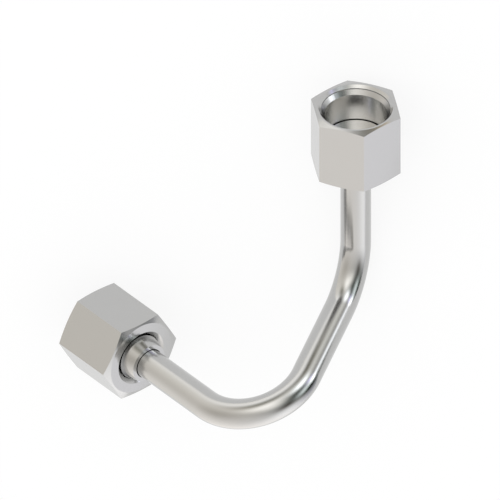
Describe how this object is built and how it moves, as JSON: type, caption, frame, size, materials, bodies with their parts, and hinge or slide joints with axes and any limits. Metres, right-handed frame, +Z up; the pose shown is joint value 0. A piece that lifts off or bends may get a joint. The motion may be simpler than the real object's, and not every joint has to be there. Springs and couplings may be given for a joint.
{
  "type": "fuel line",
  "caption": "Short rigid steel fuel line: a tube bent in two planes, with a flat-faced sleeve and a captive hexagonal union nut at each end.",
  "frame": {"origin": "middle of the line's plan size, on the surface that it lies on", "axes": "+Z up from that surface, +X along the short leg in plan, towards its mouth"},
  "size_m": [0.0712, 0.0684, 0.0347],
  "materials": {
    "bare_steel": "fine satin bare steel, no plating colour"
  },
  "bodies": {
    "line": {"tube": "bare_steel", "short_leg_sleeve": "bare_steel", "long_leg_sleeve": "bare_steel"},
    "short_nut": {"short_leg_nut": "bare_steel"},
    "long_nut": {"long_leg_nut": "bare_steel"}
  },
  "joints": [
    {"name": "short_nut_turn", "type": "hinge", "parent": "line", "child": "short_nut", "pos_m": [0.02565, -0.02446, 0.01052], "axis": [0.964, 0, 0.2658], "continuous": true},
    {"name": "long_nut_turn", "type": "hinge", "parent": "line", "child": "long_nut", "pos_m": [-0.02527, 0.02213, 0.01196], "axis": [0.1648, 0.7845, -0.5978], "continuous": true}
  ]
}
